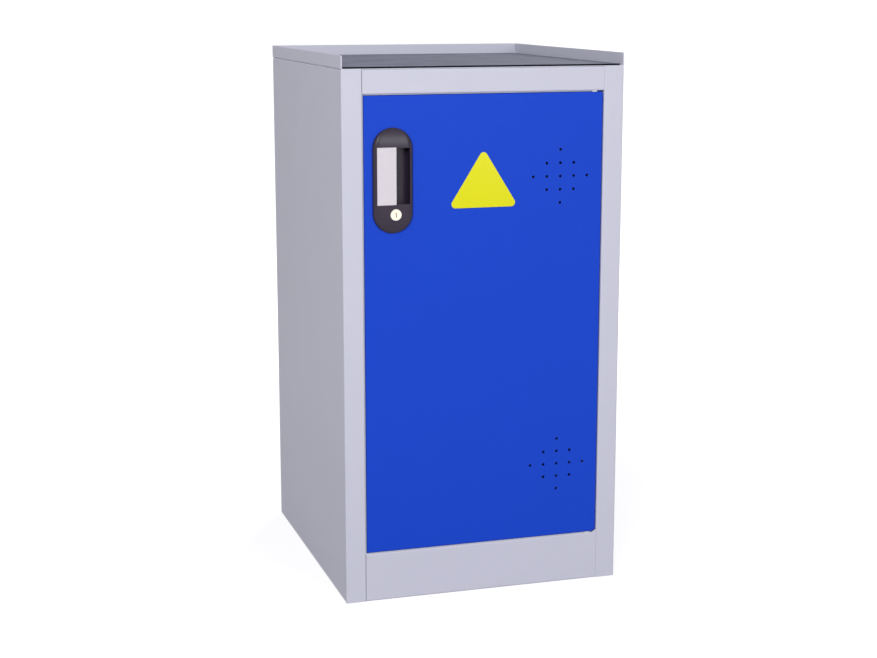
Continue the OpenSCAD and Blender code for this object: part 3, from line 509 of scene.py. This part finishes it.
def mesh_from_rings(name, rings):
    """Closed skin over rings of points, an array of ring, point and coordinate.

    Quads join each ring to the next, and the first and last rings are closed by one flat face each.
    """
    count, around = rings.shape[:2]
    row, column = np.meshgrid(np.arange(count - 1), np.arange(around), indexing="ij")
    after = (column + 1) % around
    quads = np.stack([row * around + column, row * around + after,
                      (row + 1) * around + after, (row + 1) * around + column], -1).reshape(-1, 4)
    first = np.arange(around)[::-1]
    last = (count - 1) * around + np.arange(around)
    mesh = bpy.data.meshes.new(name)
    mesh.from_pydata(rings.reshape(-1, 3), [], quads.tolist() + [first.tolist(), last.tolist()])
    mesh.update()
    round_folds(mesh)
    return mesh


def rounded_outline(corners, radius, insets):
    """Rings of a convex polygon with round corners, each moved inwards by its own inset.

    Each corner's arc is centred where both edges are a radius away, and a ring's arc has the radius
    less its inset: point = centre + (radius - inset) * (cos a, sin a). Corners run anticlockwise.
    """
    before = np.roll(corners, 1, axis=0)
    beyond = np.roll(corners, -1, axis=0)
    inward = corners - before
    outward = beyond - corners
    start_turn = np.arctan2(inward[:, 1], inward[:, 0]) - math.pi / 2
    turn = np.arctan2(inward[:, 0] * outward[:, 1] - inward[:, 1] * outward[:, 0],
                      (inward * outward).sum(1))
    middle = start_turn + turn / 2
    reach = radius / np.cos(turn / 2)
    centres = corners - reach[:, None] * np.stack([np.cos(middle), np.sin(middle)], -1)
    angles = start_turn[:, None] + turn[:, None] * np.linspace(0, 1, CORNER_POINTS)
    unit = np.stack([np.cos(angles), np.sin(angles)], -1)
    rings = centres[None, :, None, :] + (radius - insets)[:, None, None, None] * unit[None]
    return rings.reshape(len(insets), -1, 2)


def slab_rings(corners, corner_r, thickness, edge_r):
    """Rings of a flat slab with round corners and a rounded upper edge, as plan and height.

    The edge is a quarter circle: inset = r (1 - cos a) and height = thickness - r (1 - sin a).
    """
    a = np.linspace(0, math.pi / 2, EDGE_POINTS)
    insets = np.concatenate([[0], edge_r * (1 - np.cos(a))])
    heights = np.concatenate([[0], thickness - edge_r * (1 - np.sin(a))])
    plan = rounded_outline(corners, corner_r, insets)
    height = np.broadcast_to(heights[:, None, None], plan.shape[:2] + (1,))
    return np.concatenate([plan, height], -1)


def rectangle(x0, y0, x1, y1):
    """Corners of a rectangle, anticlockwise."""
    return np.array([[x0, y0], [x1, y0], [x1, y1], [x0, y1]])


def upright_slab(name, corners, corner_r, back_y, thickness, edge_r):
    """Slab that stands on a wall at back_y and rises towards -Y from an outline in X and Z."""
    rings = slab_rings(corners, corner_r, thickness, edge_r)
    stood = np.stack([rings[..., 0], back_y - rings[..., 2], rings[..., 1]], -1)
    return link_piece(name, mesh_from_rings(name, stood))


def bar_plan(low, high, sizes):
    """Rings in X and Z of a bar with round ends, from its outline to near its middle line.

    The insets follow the crown's rounded edge, inset = width (1 - cos a), and then go on in even
    steps. Even steps also divide the two long sides, so that the crown can bend along them.
    """
    skin = sizes.crown_skin
    radius = (high.x - low.x) / 2
    half = (high.z - low.z) / 2
    turn = np.linspace(0, math.pi / 2, CROWN_POINTS)
    inner = np.arange(sizes.crown_round, radius - sizes.crown_step, sizes.crown_step)
    insets = np.concatenate([[0], sizes.crown_round * (1 - np.cos(turn)), inner[1:]])
    outline = rectangle(low.x + skin, low.z + skin, high.x - skin, high.z - skin)
    arcs = np.split(rounded_outline(outline, radius - skin, insets), len(outline), axis=1)
    count = round(2 * (half - radius) / sizes.crown_step)
    right = np.linspace(arcs[1][:, -1], arcs[2][:, 0], count, axis=1)[:, 1:-1]
    left = np.linspace(arcs[3][:, -1], arcs[0][:, 0], count, axis=1)[:, 1:-1]
    return np.concatenate([arcs[0], arcs[1], right, arcs[2], arcs[3], left], axis=1)


def domed_bar(sizes):
    """Solid of the handle's outer form, in rings from its outline to its middle line.

    The crown falls to the outline as a quarter ellipse, a = rise (1 - sqrt(1 - e^2)), and to both
    tips as an arc, b = r - sqrt(r^2 - t^2). The fall is (a^4 + b^4)^(1/4), which rounds the crease
    between the two. Round the lock the crown stays level, and its seat's edge slopes down at 45
    degrees. The solid lies a skin's depth inside the frame's facets and reaches behind the handle's tub.
    """
    low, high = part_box("handle_moulding")
    lock_low, lock_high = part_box("lock_body")
    door_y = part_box("door_skin")[0].y
    radius = (high.x - low.x) / 2
    half = (high.z - low.z) / 2
    rise = door_y - low.y - sizes.crown_side
    flat = radius - sizes.crown_round
    plan = bar_plan(low, high, sizes)
    x = plan[..., 0] - (low.x + high.x) / 2
    z = np.abs(plan[..., 1] - (low.z + high.z) / 2)
    edge = (np.hypot(x, np.maximum(z - half + radius, 0)) - flat) / sizes.crown_round
    to_edge = rise * (1 - np.sqrt(1 - np.clip(edge, 0, 1) ** 2))
    arc = (sizes.dome_length ** 2 + sizes.dome_fall ** 2) / (2 * sizes.dome_fall)
    to_tip = arc - np.sqrt(arc ** 2 - np.maximum(z - half + sizes.dome_length, 0) ** 2)
    fall = (to_edge ** CREASE_POWER + to_tip ** CREASE_POWER) ** (1 / CREASE_POWER)
    from_lock = np.hypot(plan[..., 0] - (lock_low.x + lock_high.x) / 2,
                         plan[..., 1] - (lock_low.z + lock_high.z) / 2)
    seat = np.maximum(from_lock - (lock_high.x - lock_low.x) / 2 - sizes.seat_edge, 0)
    y = low.y + sizes.crown_skin + np.minimum(fall, seat)
    y[0] = high.y + radius
    mesh = mesh_from_rings("domed_bar", np.stack([plan[..., 0], y, plan[..., 1]], -1))
    weld(mesh)
    return link_piece("domed_bar", mesh)


class CABINET_OT_carcass(Operator):
    """Paints the outer and inner sheets, the rails and the tray, with their folds shaded round"""

    bl_idname = "cabinet.carcass"
    bl_label = "Carcass"

    def execute(self, context):
        paint = powder_coat("Powder coat, light grey", context.scene.cabinet_finishes.grey_paint)
        for node in ("side_panel_left", "side_panel_right", "back_panel", "top_rail", "bottom_rail",
                     "worktop_tray", "liner_left", "liner_right", "liner_top", "sump_pan",
                     "door_liner"):
            smooth_copy(node, paint)
        for node in ("base_panel", "liner_back"):
            paint_node(node, paint)
        return {"FINISHED"}


class CABINET_OT_mat(Operator):
    """Lays the rubber mat in the worktop tray"""

    bl_idname = "cabinet.mat"
    bl_label = "Worktop mat"

    def execute(self, context):
        colours = context.scene.cabinet_finishes
        sizes = context.scene.cabinet_fittings
        low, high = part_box("worktop_mat")
        rings = slab_rings(rectangle(low.x, low.y, high.x, high.y), sizes.mat_corner,
                           high.z - low.z, sizes.edge_round)
        rings[..., 2] += low.z
        piece = link_piece("mat", mesh_from_rings("mat", rings))
        settle(piece, "worktop_mat", worn_rubber("Rubber matting", colours.mat_top_and_sheen, colours.mat_edge_shade))
        return {"FINISHED"}


class CABINET_OT_interior(Operator):
    """Finishes the shelves, their uprights and clips, the seal, keeper, bushes and boards"""

    bl_idname = "cabinet.interior"
    bl_label = "Interior"

    def execute(self, context):
        colours = context.scene.cabinet_finishes
        sheet = galvanised_sheet("Galvanised sheet", colours.galvanised)
        for node in ("lower_shelf", "upper_shelf", "shelf_uprights"):
            smooth_copy(node, sheet)
        plated = zinc_plate("Zinc-plated clips", colours.zinc)
        for node in ("shelf_clips", "lock_keeper"):
            smooth_copy(node, plated)
        smooth_copy("door_seal", soft_rubber("Sponge rubber seal", colours.seal_grey))
        nylon = natural_nylon("Natural nylon", colours.nylon)
        for node in ("lower_hinge_bush", "upper_hinge_bush"):
            smooth_copy(node, nylon)
        board = silicate_board("Calcium silicate board", colours.board)
        for node in [name for name in BODY_OF if SLOT_OF[name] == "board"]:
            paint_node(node, board)
        return {"FINISHED"}


class CABINET_OT_door(Operator):
    """Paints the door pan and finishes its hinges"""

    bl_idname = "cabinet.door"
    bl_label = "Door"

    def execute(self, context):
        colours = context.scene.cabinet_finishes
        smooth_copy("door_skin", powder_coat("Powder coat, blue", colours.blue_paint))
        plated = zinc_plate("Zinc-plated hinges", colours.zinc)
        for node in ("lower_hinge_bracket", "upper_hinge_bracket", "lower_hinge_pin",
                     "upper_hinge_pin"):
            smooth_copy(node, plated)
        return {"FINISHED"}


class CABINET_OT_handle(Operator):
    """Finishes the moulded handle, its screws, its card and the card's clear cover"""

    bl_idname = "cabinet.handle"
    bl_label = "Handle"

    def execute(self, context):
        colours = context.scene.cabinet_finishes
        sizes = context.scene.cabinet_fittings
        moulding = trimmed(welded_copy("handle_moulding"), domed_bar(sizes))
        dress("handle_moulding", moulding, eroded_plastic("Moulded ABS, black", colours.handle_black))
        smooth_copy("handle_screws", zinc_plate("Zinc-plated screws", colours.zinc))
        paint_node("name_card", card_stock("Blank card", colours.card_white))
        low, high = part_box("card_cover")
        cover = upright_slab("cover", rectangle(low.x, low.z, high.x, high.z), 2 * sizes.cover_round,
                             high.y - sizes.cover_gap, high.y - sizes.cover_gap - low.y,
                             sizes.cover_round)
        settle(cover, "card_cover", clear_acrylic("Clear acrylic", colours.cover_clear))
        return {"FINISHED"}


class CABINET_OT_lock(Operator):
    """Finishes the cam lock"""

    bl_idname = "cabinet.lock"
    bl_label = "Lock"

    def execute(self, context):
        colours = context.scene.cabinet_finishes
        bright = nickel_plate("Bright nickel", colours.nickel)
        for node in ("lock_body", "lock_plug"):
            smooth_copy(node, bright)
        plated = zinc_plate("Zinc-plated lock fittings", colours.zinc)
        for node in ("lock_nut", "lock_cam", "cam_screw"):
            smooth_copy(node, plated)
        return {"FINISHED"}


class CABINET_OT_plate(Operator):
    """Sets a blank three-cornered plate on the door"""

    bl_idname = "cabinet.plate"
    bl_label = "Door plate"

    def execute(self, context):
        colours = context.scene.cabinet_finishes
        sizes = context.scene.cabinet_fittings
        low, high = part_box("door_skin")
        middle = (low.x + high.x) / 2 + sizes.plate_right
        half = sizes.plate_width / 2
        top = high.z - sizes.plate_drop
        bottom = top - sizes.plate_height
        corners = np.array([[middle - half, bottom], [middle + half, bottom], [middle, top]])
        plate = upright_slab("door_plate", corners, sizes.plate_corner, low.y,
                             sizes.plate_thick, sizes.plate_thick / 2)
        plate.data.materials.append(enamel("Yellow enamel", colours.plate_yellow))
        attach(plate, BODY_OF["door_skin"])
        return {"FINISHED"}


class CABINET_OT_stage(Operator):
    """Sets up the white floor, the surroundings, the three lamps and the camera"""

    bl_idname = "cabinet.stage"
    bl_label = "Stage"

    def execute(self, context):
        settings = context.scene.cabinet_stage
        aim = settings.lamp_aim
        self.light_surroundings(context.scene, settings)
        self.lay_floor(settings)
        self.hang_lamp("Key", settings.key_place, aim, settings.key_size, settings.key_power)
        self.hang_lamp("Fill", settings.fill_place, aim, settings.fill_size, settings.fill_power)
        self.hang_lamp("Back", settings.back_place, aim, settings.back_size, settings.back_power)
        self.place_camera(context.scene, settings)
        context.scene.view_settings.view_transform = "Standard"
        return {"FINISHED"}

    def seen_directly(self, tree):
        """1 for rays that show the stage itself: from the camera, off gloss and through glass."""
        path = add(tree, "ShaderNodeLightPath")
        sharp = add(tree, "ShaderNodeMath", {0: path.outputs["Is Camera Ray"],
                                             1: path.outputs["Is Glossy Ray"]}, operation="MAXIMUM")
        seen = add(tree, "ShaderNodeMath", {0: sharp.outputs[0],
                                            1: path.outputs["Is Transmission Ray"]}, operation="MAXIMUM")
        return seen.outputs[0]

    def light_surroundings(self, scene, settings):
        """White all round: full white where it is seen, and the ambient strength where it lights."""
        scene.world = bpy.data.worlds.new("White surroundings")
        scene.world.use_nodes = True
        tree = scene.world.node_tree
        level = add(tree, "ShaderNodeMapRange", {"Value": self.seen_directly(tree),
                                                 "To Min": settings.ambient, "To Max": 1.0})
        tree.links.new(level.outputs["Result"], tree.nodes["Background"].inputs["Strength"])
        tree.nodes["Background"].inputs["Color"].default_value = (1, 1, 1, 1)

    def lay_floor(self, settings):
        """Pale floor that keeps the shadow and goes to white where the light is whole."""
        half = settings.floor_side / 2
        ground = CAD_BOX[0].z
        mesh = bpy.data.meshes.new("floor")
        mesh.from_pydata([(-half, -half, ground), (half, -half, ground), (half, half, ground),
                          (-half, half, ground)], [], [(0, 1, 2, 3)])
        floor = link_piece("floor", mesh)
        material = bpy.data.materials.new("White floor")
        material.use_nodes = True
        tree = material.node_tree
        tree.nodes.clear()
        matt = add(tree, "ShaderNodeBsdfDiffuse", {"Color": shade(settings.floor_grey)})
        place = add(tree, "ShaderNodeTexCoord").outputs["Object"]
        away = add(tree, "ShaderNodeVectorMath", {0: place}, operation="LENGTH").outputs["Value"]
        zone = {"From Min": settings.floor_near, "From Max": settings.floor_far,
                "To Min": settings.floor_glow, "To Max": 1.0}
        rise = add(tree, "ShaderNodeMapRange", {"Value": away, **zone}, interpolation_type="SMOOTHSTEP")
        lift = add(tree, "ShaderNodeMath", {0: self.seen_directly(tree), 1: rise.outputs["Result"]},
                   operation="MULTIPLY")
        glow = add(tree, "ShaderNodeEmission", {"Strength": lift.outputs[0]})
        both = add(tree, "ShaderNodeAddShader", {0: matt.outputs[0], 1: glow.outputs[0]})
        add(tree, "ShaderNodeOutputMaterial", {"Surface": both.outputs[0]})
        mesh.materials.append(material)

    def hang_lamp(self, name, place, aim, size, power):
        """Soft square lamp that faces a point."""
        light = bpy.data.lights.new(name, "AREA")
        light.size = size
        light.energy = power
        lamp = bpy.data.objects.new(name, light)
        bpy.context.scene.collection.objects.link(lamp)
        lamp.location = place
        facing = Vector(aim) - Vector(place)
        lamp.rotation_euler = facing.to_track_quat("-Z", "Y").to_euler()

    def place_camera(self, scene, settings):
        """Camera turned to the right by its yaw and tilted downwards by its pitch."""
        lens = bpy.data.cameras.new("Camera")
        lens.lens = settings.lens
        camera = bpy.data.objects.new("Camera", lens)
        scene.collection.objects.link(camera)
        camera.location = settings.place
        camera.rotation_euler = (math.pi / 2 - settings.pitch, 0, -settings.yaw)
        scene.camera = camera


class CABINET_PT_panel(Panel):
    """Lists the steps that dress the cabinet, and their settings"""

    bl_idname = "CABINET_PT_panel"
    bl_label = "Safety cabinet"
    bl_space_type = "VIEW_3D"
    bl_region_type = "UI"
    bl_category = "Cabinet"

    def draw(self, context):
        for step in STEPS:
            self.layout.operator(step.bl_idname)
        for group in (context.scene.cabinet_finishes, context.scene.cabinet_fittings,
                      context.scene.cabinet_stage):
            column = self.layout.column()
            for name in group.__annotations__:
                column.prop(group, name)


STEPS = (CABINET_OT_carcass, CABINET_OT_mat, CABINET_OT_interior, CABINET_OT_door, CABINET_OT_handle,
         CABINET_OT_lock, CABINET_OT_plate, CABINET_OT_stage)
CLASSES = (CabinetFinishes, CabinetFittings, CabinetStage) + STEPS + (CABINET_PT_panel,)


def register():
    """Registers the settings, the steps and their panel."""
    for kind in CLASSES:
        bpy.utils.register_class(kind)
    bpy.types.Scene.cabinet_finishes = PointerProperty(type=CabinetFinishes)
    bpy.types.Scene.cabinet_fittings = PointerProperty(type=CabinetFittings)
    bpy.types.Scene.cabinet_stage = PointerProperty(type=CabinetStage)


def unregister():
    """Takes the settings, the steps and their panel away again."""
    del bpy.types.Scene.cabinet_stage
    del bpy.types.Scene.cabinet_fittings
    del bpy.types.Scene.cabinet_finishes
    for kind in reversed(CLASSES):
        bpy.utils.unregister_class(kind)


def main():
    """Dresses the cabinet step by step."""
    register()
    bpy.ops.cabinet.carcass()
    bpy.ops.cabinet.mat()
    bpy.ops.cabinet.interior()
    bpy.ops.cabinet.door()
    bpy.ops.cabinet.handle()
    bpy.ops.cabinet.lock()
    bpy.ops.cabinet.plate()
    bpy.ops.cabinet.stage()


if __name__ == "__main__":
    main()
